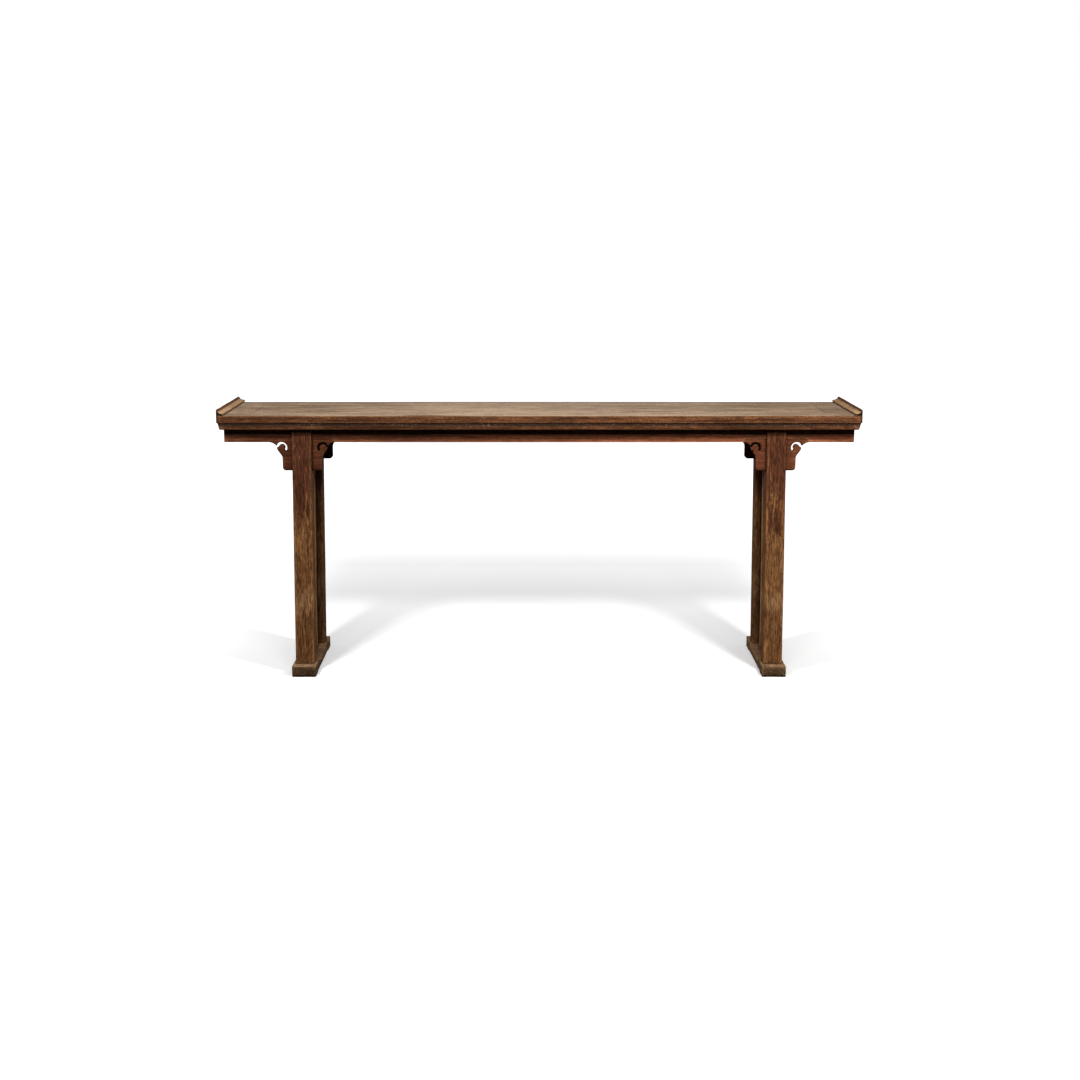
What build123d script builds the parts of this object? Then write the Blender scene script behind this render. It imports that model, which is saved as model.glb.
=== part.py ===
from build123d import *
import os

# Chinese altar table: a recessed-leg table with everted flanges, cloud-head spandrels and
# sled feet. Millimetres. The origin is on the floor under the middle of the table, +X runs
# along the table to the right, +Y to the back and +Z up.
#
# The pieces are joined as in such furniture, by tongues, mitres and tenons without metal.
# Shoulders, cheeks and seats that bear are in contact; tenons keep the named play.

# ------------------------------------------------------------------ driving dimensions

# Whole table
table_length = 2140
table_depth = 402
surface_height = 900  # floor to the flat of the top

# Top frame: four mitred members with a moulded edge
top_thickness = 48
frame_margin = 6  # frame left behind the legs
upper_band = 24  # height of the upper band of the moulded edge
band_step = 4  # the lower band sits back by this
edge_batter = 5  # and leans in by this
band_round = 5  # lower corner of the moulded edge
arris_round = 1.5  # upper arris of the edge
corner_round = 6  # corners of the top, seen from above
mitre_tenon_width = 44
mitre_tenon_thickness = 14
mitre_tenon_rise = 14  # underside of the frame to the mitre tenon
mitre_tenon_cover = 26  # wood left outside the mitre tenon

# Floating panel and the battens under it
panel_thickness = 16
panel_gap = 0.4  # seasonal gap round the panel's shoulders
tongue_length = 8
tongue_thickness = 7
tongue_drop = 5  # top of the tongue below the surface
batten_count = 5
batten_clear = 45  # leg to the nearest batten
batten_width = 36
batten_height = 24
batten_tenon_length = 22
batten_tenon_thickness = 12
dovetail_depth = 5
dovetail_root = 24
dovetail_flare = 3  # how far the dovetail widens on each side

# Everted flanges
flange_width = 24
flange_height = 20
flange_crest = 2.5  # flat along the crest
flange_toe = 8.5  # height of the rounded toe
flange_tongue = 7  # thickness and height
flange_tongue_setback = 40  # tongue stops this far from the table's edges

# Legs
leg_width = 65  # along the table
leg_depth = 60
leg_round = 4
leg_overhang = 275  # end of the table to the legs' centre line, at the top
leg_setback = 42  # edge of the table to the faces of the legs
leg_lean = 11.5  # how far a leg runs out from top to foot
top_tenon_width = 44
top_tenon_thickness = 12
top_tenon_length = 28
foot_tenon_width = 38
foot_tenon_depth = 26
foot_tenon_length = 22

# Aprons and spandrels
apron_height = 48
apron_thickness = 20
apron_inset = 13  # ends of the aprons in from the ends of the table
apron_tongue = 7  # thickness
apron_tongue_height = 6
bridle_cheek = 18  # leg's face to the apron's face
head_drop = 96  # bottom of the spandrel below the apron
head_seat = 12  # spandrel let into the apron
head_reach = 80  # leg to the point where the spandrel meets the apron
neck_reach = 34.5  # leg to the spandrel's lower edge
neck_radius = 18
heel_radius = 11
curl_reach = 38.5  # leg to the middle of the curl
curl_drop = 19.5  # apron to the middle of the curl
curl_radius = 13.5
curl_front = 24  # angle above level where the curl's round begins
curl_back = 35  # angle below level where it runs into the neck
slot_width = 8  # sawn slot that frees the curl
slot_radius = 14.8
slot_offset = (-2.2, 1)  # middle of the slot's arc from the middle of the curl
slot_mouth = 18  # angle of the slot's mouth above level
slot_sweep = 190  # angle that the slot turns through
drop_radius = 4.2  # round end of the slot

# Cross rails and the frames between the legs
side_rail_drop = 112  # top's underside to the bottom of the cross rail
side_rail_height = 45
side_rail_thickness = 26
side_tenon_thickness = 12
side_tenon_shoulder = 7  # above and below the tenon
side_tenon_cover = 4  # wood left between the tenon and the leg's slot
side_frame_thickness = 19
side_member_width = 33
side_sill = 80  # floor to the top of the bottom member
side_panel_thickness = 9
side_groove = 6
side_tongue_thickness = 7
side_tongue_length = 5

# Feet
foot_width = 82
foot_height = 37
foot_setback = 4
foot_scoop = 13  # the middle is lower by this
foot_pad = 66  # pads at the legs reach this far in from the face of the leg
foot_cove = 20  # length of the cove at the end of a pad
foot_cove_radius = 18
foot_round = 2.5  # upper arrises
foot_corner = 6  # corners of the ends, seen from above
foot_relief = 4  # underside raised between the ends
foot_bearing = 62  # length of each end that stands on the floor

# Fits
play = 0.2  # round tenons and tongues, and at their ends

# ------------------------------------------------------------------ sizes that follow

half_length = table_length / 2
half_depth = table_depth / 2
top_bottom = surface_height - top_thickness
frame_width = leg_setback + leg_depth + frame_margin
panel_half_length = half_length - frame_width
panel_half_depth = half_depth - frame_width
panel_bottom = surface_height - panel_thickness
tongue_top = surface_height - tongue_drop
batten_bottom = panel_bottom - batten_height
batten_tenon_bottom = batten_bottom + (batten_height - batten_tenon_thickness) / 2
mitre_tenon_bottom = top_bottom + mitre_tenon_rise

leg_y = half_depth - leg_setback - leg_depth / 2
leg_inner_y = half_depth - leg_setback - leg_depth
leg_top_x = half_length - leg_overhang
leg_height = top_bottom - foot_height
leg_foot_x = leg_top_x + leg_lean
leg_run = Vector(-leg_lean, 0, leg_height)

apron_face_y = half_depth - leg_setback - bridle_cheek
apron_back_y = apron_face_y - apron_thickness
apron_bottom = top_bottom - apron_height
apron_half_length = half_length - apron_inset
head_bottom = apron_bottom - head_drop
rear_cheek = leg_depth - bridle_cheek - apron_thickness
front_tenon_y = half_depth - leg_setback - bridle_cheek / 2
rear_tenon_y = leg_inner_y + rear_cheek / 2

side_rail_bottom = top_bottom - side_rail_drop
side_rail_top = side_rail_bottom + side_rail_height
side_rail_tenon = rear_cheek - side_tenon_cover
stile_inner_y = leg_inner_y - side_member_width
frame_lintel = side_rail_bottom - side_member_width
scoop_height = foot_height - foot_scoop
foot_half_length = half_depth - foot_setback
pad_end = half_depth - leg_setback - foot_pad
scoop_end = pad_end - foot_cove


def leg_x(height):
    """X of a leg's centre line at a height above the floor: the legs lean outwards."""
    return leg_top_x + leg_lean * (top_bottom - height) / leg_height


head_x = leg_x(apron_bottom - head_drop / 2)
last_batten_x = leg_top_x - leg_width / 2 - batten_clear - batten_width / 2
batten_pitch = 2 * last_batten_x / (batten_count - 1)
batten_places = [i * batten_pitch - last_batten_x for i in range(batten_count)]

# ------------------------------------------------------------------ helpers


front_edge = Plane(origin=(-half_length, -half_depth, 0), x_dir=(0, 1, 0), z_dir=(1, 0, 0))
right_edge = Plane(origin=(half_length, -half_depth, 0), x_dir=(-1, 0, 0), z_dir=(0, 1, 0))
foot_side = Plane.YZ.offset(leg_foot_x - foot_width / 2)


def save(piece, name):
    """Label a finished piece and write it as one STEP file."""
    piece.label = name
    export_step(piece, f"parts/{name}.step")


def save_ends(piece, name):
    """Write a piece drawn at the right-hand end, and its mirror image at the left."""
    save(piece, f"{name}_right")
    save(mirror(piece, about=Plane.YZ), f"{name}_left")


def save_corners(piece, name):
    """Write a piece drawn at the front right, and its mirror images at the other corners."""
    save_ends(piece, f"{name}_front")
    save_ends(mirror(piece, about=Plane.XZ), f"{name}_back")


def cut_box(x_range, y_range, z_range):
    """Take a block between the given limits out of the part being made."""
    lows = [min(limits) for limits in (x_range, y_range, z_range)]
    sizes = [abs(limits[1] - limits[0]) for limits in (x_range, y_range, z_range)]
    with Locations(tuple(lows)):
        Box(*sizes, align=Align.MIN, mode=Mode.SUBTRACT)


def edge_section():
    """Section of a top frame member: local X runs inwards from the table's edge."""
    lower = top_bottom
    step = surface_height - upper_band
    with BuildSketch() as section:
        with BuildLine():
            FilletPolyline(
                (frame_width, surface_height),
                (0, surface_height),
                (0, step),
                (band_step, step),
                (band_step + edge_batter, lower),
                (frame_width, lower),
                radius=(arris_round, arris_round, 0, band_round),
            )
            Line((frame_width, lower), (frame_width, surface_height))
        make_face()
        with Locations((frame_width - tongue_length - play, tongue_top - tongue_thickness)):
            Rectangle(
                tongue_length + play,
                tongue_thickness + play,
                align=Align.MIN,
                mode=Mode.SUBTRACT,
            )
    return section.sketch


def top_plan():
    """Plan of the whole top, with its corners rounded."""
    with BuildSketch() as section:
        RectangleRounded(table_length, table_depth, corner_round)
    return section.sketch


def mitre_tenon(slack):
    """Plan of the tenon that an end member sends into the front member."""
    outer_x = half_length - (frame_width - mitre_tenon_width) / 2
    inner_x = outer_x - mitre_tenon_width
    front_y = -half_depth + mitre_tenon_cover
    with BuildSketch() as section:
        with BuildLine():
            Polyline(
                (inner_x - slack, -panel_half_depth),
                (inner_x - slack, front_y - slack),
                (outer_x + slack, front_y - slack),
                (outer_x + slack, -panel_half_depth),
                close=True,
            )
        make_face()
    return section.sketch


def dovetail_section(x):
    """Section of a batten's dovetail key in the underside of the panel."""
    root = dovetail_root / 2
    crown = root + dovetail_flare
    with BuildSketch() as section:
        with BuildLine():
            Polyline(
                (x - root, panel_bottom),
                (x + root, panel_bottom),
                (x + crown, panel_bottom + dovetail_depth),
                (x - crown, panel_bottom + dovetail_depth),
                close=True,
            )
        make_face()
    return section.sketch


def leaning_section(low, high, thickness):
    """Section across a board that leans with the legs, seen from the table's front."""
    half = thickness / 2
    with BuildSketch() as section:
        with BuildLine():
            Polyline(
                (leg_x(low) - half, low),
                (leg_x(low) + half, low),
                (leg_x(high) + half, high),
                (leg_x(high) - half, high),
                close=True,
            )
        make_face()
    return section.sketch


def foot_section():
    """Side view of a foot: level pads at the legs, a scooped middle, a relieved underside."""
    bearing_end = foot_half_length - foot_bearing
    with BuildSketch() as section:
        with BuildLine():
            FilletPolyline(
                (-foot_half_length, 0),
                (-foot_half_length, foot_height),
                (-pad_end, foot_height),
                (-scoop_end, scoop_height),
                (scoop_end, scoop_height),
                (pad_end, foot_height),
                (foot_half_length, foot_height),
                (foot_half_length, 0),
                radius=(0,) + (foot_cove_radius,) * 4 + (0,),
            )
            Polyline(
                (foot_half_length, 0),
                (bearing_end, 0),
                (bearing_end - foot_relief, foot_relief),
                (-bearing_end + foot_relief, foot_relief),
                (-bearing_end, 0),
                (-foot_half_length, 0),
            )
        make_face()
    return section.sketch


# ------------------------------------------------------------------ top frame

os.makedirs("parts", exist_ok=True)

# Long member, drawn at the front. Its ends are cut back to the 45 degree mitre, and it is
# mortised for the mitre tenons, the legs' twin tenons and the battens, with a groove below
# for the apron's tongue.
with BuildPart() as long_rail:
    with BuildSketch(front_edge):
        add(edge_section())
    extrude(amount=table_length)
    with BuildSketch(Plane.XY.offset(top_bottom)):
        add(top_plan())
    extrude(amount=top_thickness, mode=Mode.INTERSECT)
    with BuildSketch(Plane.XY.offset(top_bottom)):
        with BuildLine():
            Polyline(
                (half_length, -half_depth),
                (half_length, -panel_half_depth),
                (panel_half_length, -panel_half_depth),
                close=True,
            )
        make_face()
        mirror(about=Plane.YZ)
    extrude(amount=top_thickness, mode=Mode.SUBTRACT)
    with BuildSketch(Plane.XY.offset(mitre_tenon_bottom - play)):
        add(mitre_tenon(play))
        mirror(about=Plane.YZ)
    extrude(amount=mitre_tenon_thickness + 2 * play, mode=Mode.SUBTRACT)
    with BuildSketch(Plane.XY.offset(top_bottom)):
        for x in (-leg_top_x, leg_top_x):
            with Locations((x, -front_tenon_y), (x, -rear_tenon_y)):
                Rectangle(top_tenon_width + 2 * play, top_tenon_thickness + 2 * play)
    extrude(amount=top_tenon_length + play, mode=Mode.SUBTRACT)
    with BuildSketch(Plane.XY.offset(top_bottom)):
        with Locations((0, -(apron_face_y + apron_back_y) / 2)):
            Rectangle(2 * panel_half_length, apron_tongue)
    extrude(amount=apron_tongue_height + play, mode=Mode.SUBTRACT)
    for x in batten_places:
        cut_box(
            (x - batten_width / 2 - play, x + batten_width / 2 + play),
            (-panel_half_depth, -panel_half_depth - batten_tenon_length - play),
            (batten_tenon_bottom - play, batten_tenon_bottom + batten_tenon_thickness + play),
        )
save(long_rail.part, "top_front_rail")
save(mirror(long_rail.part, about=Plane.XZ), "top_back_rail")

# End member, drawn at the right: mitred at both ends, with a tenon through each mitre, a
# stopped groove above for the flange's tongue and one below for the apron's.
with BuildPart() as end_rail:
    with BuildSketch(right_edge):
        add(edge_section())
    extrude(amount=table_depth)
    with BuildSketch(Plane.XY.offset(top_bottom)):
        add(top_plan())
    extrude(amount=top_thickness, mode=Mode.INTERSECT)
    with BuildSketch(Plane.XY.offset(top_bottom)):
        with BuildLine():
            Polyline(
                (half_length, -half_depth),
                (panel_half_length, -half_depth),
                (panel_half_length, -panel_half_depth),
                close=True,
            )
        make_face()
        mirror(about=Plane.XZ)
    extrude(amount=top_thickness, mode=Mode.SUBTRACT)
    with BuildSketch(Plane.XY.offset(mitre_tenon_bottom)):
        add(mitre_tenon(0))
        mirror(about=Plane.XZ)
    extrude(amount=mitre_tenon_thickness)
    with BuildSketch(Plane.XY.offset(surface_height)):
        with Locations((half_length - flange_width / 2, 0)):
            Rectangle(flange_tongue, table_depth - 2 * flange_tongue_setback)
    extrude(amount=-flange_tongue - play, mode=Mode.SUBTRACT)
    with BuildSketch(Plane.XY.offset(top_bottom)):
        with Locations((apron_half_length - apron_thickness / 2, 0)):
            Rectangle(apron_tongue, 2 * panel_half_depth)
    extrude(amount=apron_tongue_height + play, mode=Mode.SUBTRACT)
save_ends(end_rail.part, "top_end_rail")

# ------------------------------------------------------------------ panel and battens

# The floating board: a tongue all round, and a dovetailed housing for each batten.
with BuildPart() as panel:
    with BuildSketch(Plane.XY.offset(panel_bottom)):
        Rectangle(2 * (panel_half_length - panel_gap), 2 * (panel_half_depth - panel_gap))
    extrude(amount=panel_thickness)
    with BuildSketch(Plane.XY.offset(tongue_top - tongue_thickness)):
        Rectangle(
            2 * (panel_half_length + tongue_length - play),
            2 * (panel_half_depth + tongue_length - play),
        )
    extrude(amount=tongue_thickness)
    with BuildSketch(Plane.XZ.offset(-half_depth)):
        for x in batten_places:
            add(dovetail_section(x))
    extrude(amount=table_depth, mode=Mode.SUBTRACT)
save(panel.part, "top_panel")

# Each batten fills the width between the long members, keyed to the panel all along it.
for i, x in enumerate(batten_places):
    with BuildPart() as batten:
        with BuildSketch(Plane.XZ.offset(-panel_half_depth)):
            with Locations((x, panel_bottom)):
                Rectangle(batten_width, batten_height, align=(Align.CENTER, Align.MAX))
        extrude(amount=2 * panel_half_depth)
        with BuildSketch(Plane.XZ.offset(-panel_half_depth - batten_tenon_length)):
            with Locations((x, batten_tenon_bottom)):
                Rectangle(
                    batten_width,
                    batten_tenon_thickness,
                    align=(Align.CENTER, Align.MIN),
                )
        extrude(amount=2 * (panel_half_depth + batten_tenon_length))
        with BuildSketch(Plane.XZ.offset(-panel_half_depth + panel_gap)):
            add(dovetail_section(x))
        extrude(amount=2 * (panel_half_depth - panel_gap))
    save(batten.part, f"top_batten_{i + 1}")

# ------------------------------------------------------------------ flanges

# Drawn at the right: a crest flush with the table's end, a hollow face that runs out level
# over the rounded toe, and a stopped tongue below.
with BuildPart() as flange:
    with BuildSketch(Plane.XZ.offset(-half_depth)):
        with BuildLine():
            toe_middle = Vector(half_length - flange_width + flange_toe / 2, surface_height)
            toe_top = toe_middle + (0, flange_toe)
            crest = Polyline(
                toe_middle,
                (half_length, surface_height),
                (half_length, surface_height + flange_height),
                (half_length - flange_crest, surface_height + flange_height),
            )
            TangentArc(toe_top, crest @ 1, tangent=(1, 0))
            CenterArc(toe_middle + (0, flange_toe / 2), flange_toe / 2, 90, 180)
        make_face()
    extrude(amount=table_depth)
    with BuildSketch(Plane.XY.offset(surface_height)):
        add(top_plan())
    extrude(amount=flange_height, mode=Mode.INTERSECT)
    with BuildSketch(Plane.XY.offset(surface_height)):
        with Locations((half_length - flange_width / 2, 0)):
            Rectangle(flange_tongue, table_depth - 2 * flange_tongue_setback)
    extrude(amount=-flange_tongue)
save_ends(flange.part, "flange")

# ------------------------------------------------------------------ legs

# Drawn at the front right. The leg leans outwards as it goes down. Its top is an open slot
# through which the apron and the spandrel pass, and each cheek of the slot ends in a tenon.
with BuildPart() as leg:
    with BuildSketch(Plane.XY.offset(foot_height)):
        with Locations((leg_foot_x, -leg_y)):
            RectangleRounded(leg_width, leg_depth, leg_round)
    extrude(amount=leg_run.length, dir=leg_run)
    cut_box(
        (leg_top_x - leg_width, leg_top_x + leg_width),
        (-apron_face_y, -apron_back_y),
        (head_bottom, top_bottom),
    )
    with BuildSketch(Plane.XY.offset(top_bottom)):
        with Locations((leg_top_x, -front_tenon_y), (leg_top_x, -rear_tenon_y)):
            Rectangle(top_tenon_width, top_tenon_thickness)
    extrude(amount=top_tenon_length)
    with BuildSketch(Plane.XY.offset(foot_height)):
        with Locations((leg_foot_x, -leg_y)):
            Rectangle(foot_tenon_width, foot_tenon_depth)
    extrude(amount=-foot_tenon_length)
    with BuildSketch(Plane.XZ.offset(leg_inner_y)):
        add(
            leaning_section(
                side_rail_bottom + side_tenon_shoulder - play,
                side_rail_top - side_tenon_shoulder + play,
                side_tenon_thickness + 2 * play,
            )
        )
    extrude(amount=side_rail_tenon + play, mode=Mode.SUBTRACT)
    with BuildSketch(Plane.XZ.offset(leg_inner_y)):
        add(leaning_section(foot_height, side_rail_bottom, side_tongue_thickness))
    extrude(amount=side_tongue_length + play, mode=Mode.SUBTRACT)
save_corners(leg.part, "leg")

# ------------------------------------------------------------------ aprons

# Long apron, drawn at the front: mitred ends, a tongue above, and below it a seat with
# sloping shoulders for each spandrel.
seat_half = leg_width / 2 + head_reach
with BuildPart() as long_apron:
    with BuildSketch(Plane.XY.offset(apron_bottom)):
        with BuildLine():
            Polyline(
                (-apron_half_length, -apron_face_y),
                (apron_half_length, -apron_face_y),
                (apron_half_length - apron_thickness, -apron_back_y),
                (-apron_half_length + apron_thickness, -apron_back_y),
                close=True,
            )
        make_face()
    extrude(amount=apron_height)
    with BuildSketch(Plane.XY.offset(top_bottom)):
        with Locations((0, -(apron_face_y + apron_back_y) / 2)):
            Rectangle(2 * panel_half_length, apron_tongue)
    extrude(amount=apron_tongue_height)
    with BuildSketch(Plane.XZ.offset(apron_back_y)):
        for x in (-head_x, head_x):
            with BuildLine():
                Polyline(
                    (x - seat_half, apron_bottom),
                    (x - seat_half + head_seat, apron_bottom + head_seat),
                    (x + seat_half - head_seat, apron_bottom + head_seat),
                    (x + seat_half, apron_bottom),
                    close=True,
                )
            make_face()
    extrude(amount=apron_thickness, mode=Mode.SUBTRACT)
save(long_apron.part, "apron_front")
save(mirror(long_apron.part, about=Plane.XZ), "apron_back")

# End apron, drawn at the right.
with BuildPart() as end_apron:
    with BuildSketch(Plane.XY.offset(apron_bottom)):
        with BuildLine():
            Polyline(
                (apron_half_length, -apron_face_y),
                (apron_half_length, apron_face_y),
                (apron_half_length - apron_thickness, apron_back_y),
                (apron_half_length - apron_thickness, -apron_back_y),
                close=True,
            )
        make_face()
    extrude(amount=apron_height)
    with BuildSketch(Plane.XY.offset(top_bottom)):
        with Locations((apron_half_length - apron_thickness / 2, 0)):
            Rectangle(apron_tongue, 2 * panel_half_depth)
    extrude(amount=apron_tongue_height)
save_ends(end_apron.part, "apron")

# ------------------------------------------------------------------ spandrels

# Drawn at the front right: one board through the leg's slot with a cloud head on each side.
# Local X runs outwards from the leg's centre line and local Y up from the apron's edge.
head_origin = (head_x, -apron_face_y, apron_bottom)
head_plane = Plane(origin=head_origin, x_dir=(1, 0, 0), z_dir=(0, -1, 0))
neck_x = leg_width / 2 + neck_reach
curl_middle = Vector(leg_width / 2 + curl_reach, -curl_drop)
slot_middle = curl_middle + slot_offset
with BuildPart() as spandrel:
    with BuildSketch(head_plane):
        with BuildLine():
            lip = CenterArc(slot_middle, slot_radius + slot_width / 2, slot_mouth, 1)
            curl = CenterArc(curl_middle, curl_radius, curl_front, -curl_front - curl_back)
            run = curl % 1
            bend = curl @ 1 + run * ((neck_x - (curl @ 1).X) / run.X)
            Polyline((0, head_seat), (seat_half - head_seat, head_seat), (seat_half, 0))
            TangentArc((seat_half, 0), lip @ 1, tangent=(-1, 0))
            Line(lip @ 0, curl @ 0)
            FilletPolyline(
                curl @ 1,
                bend,
                (neck_x, -head_drop),
                (0, -head_drop),
                radius=(neck_radius, heel_radius),
            )
            Line((0, -head_drop), (0, head_seat))
        make_face()
        with BuildLine(mode=Mode.PRIVATE) as slot_path:
            CenterArc(slot_middle, slot_radius, slot_mouth, slot_sweep)
        SlotArc(slot_path.edges()[0], slot_width, mode=Mode.SUBTRACT)
        with Locations(slot_path.edges()[0] @ 1):
            Circle(drop_radius, mode=Mode.SUBTRACT)
        mirror(about=Plane.YZ)
    extrude(amount=-apron_thickness)
save_corners(spandrel.part, "spandrel")

# ------------------------------------------------------------------ between the legs

# All of these are drawn at the right and lean with the legs.
with BuildPart() as side_rail:
    with BuildSketch(Plane.XZ.offset(-leg_inner_y)):
        add(leaning_section(side_rail_bottom, side_rail_top, side_rail_thickness))
    extrude(amount=2 * leg_inner_y)
    with BuildSketch(Plane.XZ.offset(-leg_inner_y - side_rail_tenon)):
        add(
            leaning_section(
                side_rail_bottom + side_tenon_shoulder,
                side_rail_top - side_tenon_shoulder,
                side_tenon_thickness,
            )
        )
    extrude(amount=2 * (leg_inner_y + side_rail_tenon))
save_ends(side_rail.part, "side_rail")

# Stile, drawn at the front: a tongue into the leg, a groove for the panel and the members.
with BuildPart() as stile:
    with BuildSketch(Plane.XZ.offset(stile_inner_y)):
        add(leaning_section(scoop_height, side_rail_bottom, side_frame_thickness))
    extrude(amount=side_member_width)
    with BuildSketch(Plane.XZ.offset(leg_inner_y)):
        add(leaning_section(scoop_height, side_rail_bottom, side_tongue_thickness))
    extrude(amount=side_tongue_length)
    with BuildSketch(Plane.XZ.offset(stile_inner_y)):
        add(leaning_section(scoop_height, side_rail_bottom, side_panel_thickness))
    extrude(amount=side_groove, mode=Mode.SUBTRACT)
    with BuildSketch(foot_side):
        add(foot_section())
    extrude(amount=foot_width, mode=Mode.SUBTRACT)
save_ends(stile.part, "side_stile_front")
save_ends(mirror(stile.part, about=Plane.XZ), "side_stile_back")

member_tenon_y = stile_inner_y + side_groove - play
with BuildPart() as lintel:
    with BuildSketch(Plane.XZ.offset(-stile_inner_y)):
        add(leaning_section(frame_lintel, side_rail_bottom, side_frame_thickness))
    extrude(amount=2 * stile_inner_y)
    with BuildSketch(Plane.XZ.offset(-member_tenon_y)):
        add(leaning_section(frame_lintel + side_groove, side_rail_bottom, side_panel_thickness))
    extrude(amount=2 * member_tenon_y)
    with BuildSketch(Plane.XZ.offset(-member_tenon_y)):
        add(leaning_section(frame_lintel, frame_lintel + side_groove, side_panel_thickness))
    extrude(amount=2 * member_tenon_y, mode=Mode.SUBTRACT)
save_ends(lintel.part, "side_frame_top")

with BuildPart() as sill:
    with BuildSketch(Plane.XZ.offset(-stile_inner_y)):
        add(leaning_section(scoop_height, side_sill, side_frame_thickness))
    extrude(amount=2 * stile_inner_y)
    with BuildSketch(Plane.XZ.offset(-member_tenon_y)):
        add(leaning_section(foot_height, side_sill - side_groove, side_panel_thickness))
    extrude(amount=2 * member_tenon_y)
    with BuildSketch(Plane.XZ.offset(-member_tenon_y)):
        add(leaning_section(side_sill - side_groove, side_sill, side_panel_thickness))
    extrude(amount=2 * member_tenon_y, mode=Mode.SUBTRACT)
    with BuildSketch(foot_side):
        add(foot_section())
    extrude(amount=foot_width, mode=Mode.SUBTRACT)
save_ends(sill.part, "side_frame_bottom")

with BuildPart() as side_panel:
    with BuildSketch(Plane.XZ.offset(-member_tenon_y)):
        add(
            leaning_section(
                side_sill - side_groove + play,
                frame_lintel + side_groove - play,
                side_panel_thickness,
            )
        )
    extrude(amount=2 * member_tenon_y)
save_ends(side_panel.part, "side_panel")

# ------------------------------------------------------------------ feet

# Drawn at the right: the outline seen from the side, softened along its upper edges and
# down its corners, with a mortise in each pad.
with BuildPart() as foot:
    with BuildSketch(foot_side):
        add(foot_section())
    extrude(amount=foot_width)
    with BuildSketch(Plane.XY):
        with Locations((leg_foot_x, 0)):
            RectangleRounded(foot_width, 2 * foot_half_length, foot_corner)
    extrude(amount=foot_height, mode=Mode.INTERSECT)
    walls = foot.faces().filter_by(lambda face: round(face.normal_at().Z, 3) == 0)
    upper = walls.edges().filter_by(Axis.Z, reverse=True)
    fillet([edge for edge in upper if edge.center().Z > foot_relief], foot_round)
    with BuildSketch(Plane.XY.offset(foot_height)):
        with Locations((leg_foot_x, -leg_y), (leg_foot_x, leg_y)):
            Rectangle(foot_tenon_width + 2 * play, foot_tenon_depth + 2 * play)
    extrude(amount=-foot_tenon_length - play, mode=Mode.SUBTRACT)
save_ends(foot.part, "foot")
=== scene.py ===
"""Finishes a Chinese altar table in old elm under worn lacquer, and sets it in a plain studio."""

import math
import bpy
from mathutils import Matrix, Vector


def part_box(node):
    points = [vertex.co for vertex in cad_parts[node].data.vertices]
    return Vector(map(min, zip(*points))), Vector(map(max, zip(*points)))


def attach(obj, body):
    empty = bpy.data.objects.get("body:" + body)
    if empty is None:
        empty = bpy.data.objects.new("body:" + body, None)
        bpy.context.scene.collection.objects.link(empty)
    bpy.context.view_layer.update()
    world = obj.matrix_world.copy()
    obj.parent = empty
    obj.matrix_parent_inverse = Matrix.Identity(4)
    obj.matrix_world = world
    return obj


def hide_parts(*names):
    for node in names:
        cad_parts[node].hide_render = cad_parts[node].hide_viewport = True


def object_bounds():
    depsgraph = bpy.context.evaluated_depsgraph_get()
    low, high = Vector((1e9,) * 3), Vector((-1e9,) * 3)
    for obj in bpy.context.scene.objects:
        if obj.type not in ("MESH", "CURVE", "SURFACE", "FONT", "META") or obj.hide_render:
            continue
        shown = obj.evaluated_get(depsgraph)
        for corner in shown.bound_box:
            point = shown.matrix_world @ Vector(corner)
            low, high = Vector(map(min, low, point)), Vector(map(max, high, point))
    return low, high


bl_info = {
    "name": "Chinese altar table",
    "version": (1, 0, 0),
    "blender": (4, 5, 0),
    "location": "3D View > Sidebar > Altar table",
    "description": "Ages the joined pieces of an altar table in worn, lacquered elm and sets its studio",
    "category": "Object",
}

import bmesh
import bpy
from mathutils import Vector

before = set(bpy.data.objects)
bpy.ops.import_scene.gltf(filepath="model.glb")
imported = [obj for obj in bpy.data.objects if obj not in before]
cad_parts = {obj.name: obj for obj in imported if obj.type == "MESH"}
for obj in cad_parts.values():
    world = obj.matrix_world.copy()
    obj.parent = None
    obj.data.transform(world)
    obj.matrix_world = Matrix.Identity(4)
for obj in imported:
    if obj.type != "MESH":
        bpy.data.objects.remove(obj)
CAD_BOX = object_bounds()

MM = 0.001

# Where the table ends on the right, at the back and above, and how high the top's surface lies.
TABLE_END, FAR_EDGE, CREST = CAD_BOX[1]
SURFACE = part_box("top_panel")[1][2]

# The upper part of the moulding's lower band and the flanges' crest, painted with shade, the strip
# below the top, painted with the top's shadow, and the feet's dark lower edge, each by two heights.
LOWER_BAND = (SURFACE - 35.5 * MM, SURFACE - 23.5 * MM)
FLANGE_CREST_SHADE = (CREST - 7 * MM, CREST + 10 * MM)
SHADOW_BELOW_TOP = (SURFACE - 76.8 * MM, SURFACE - 40 * MM)
FOOT_BASE = (-10 * MM, 4 * MM)

# The pale mark that wet mops have left on the legs, by its two heights, and the height below
# which the lacquer is worn more and more.
MOP_MARK = (340 * MM, 390 * MM)
WORN_BELOW = 750 * MM

# The smudge that a wet pot has left near the front of the top, by its middle and its reach.
STAIN_MIDDLE = (-385 * MM, -178 * MM)
STAIN_REACH = (70 * MM, 30 * MM)

# How wide elm's growth rings are, how rough the lacquer and the rubbed wood are, how much darker
# thick lacquer is than thin, and how much paler wood is on an arris that hands keep clean, which also paints
# the arris's highlight.
RING_WIDTH = 9 * MM
ROUGH_LACQUER = 0.72
ROUGH_WOOD = 0.88
THICK_LACQUER = 0.62
WORN_ARRIS_HIGHLIGHT = 1.5

# The order that turns a board's own axes into along, across and through the grain.
GRAIN_ORDER = {"X": (0, 1, 2), "Y": (1, 0, 2), "Z": (2, 0, 1)}

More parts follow.
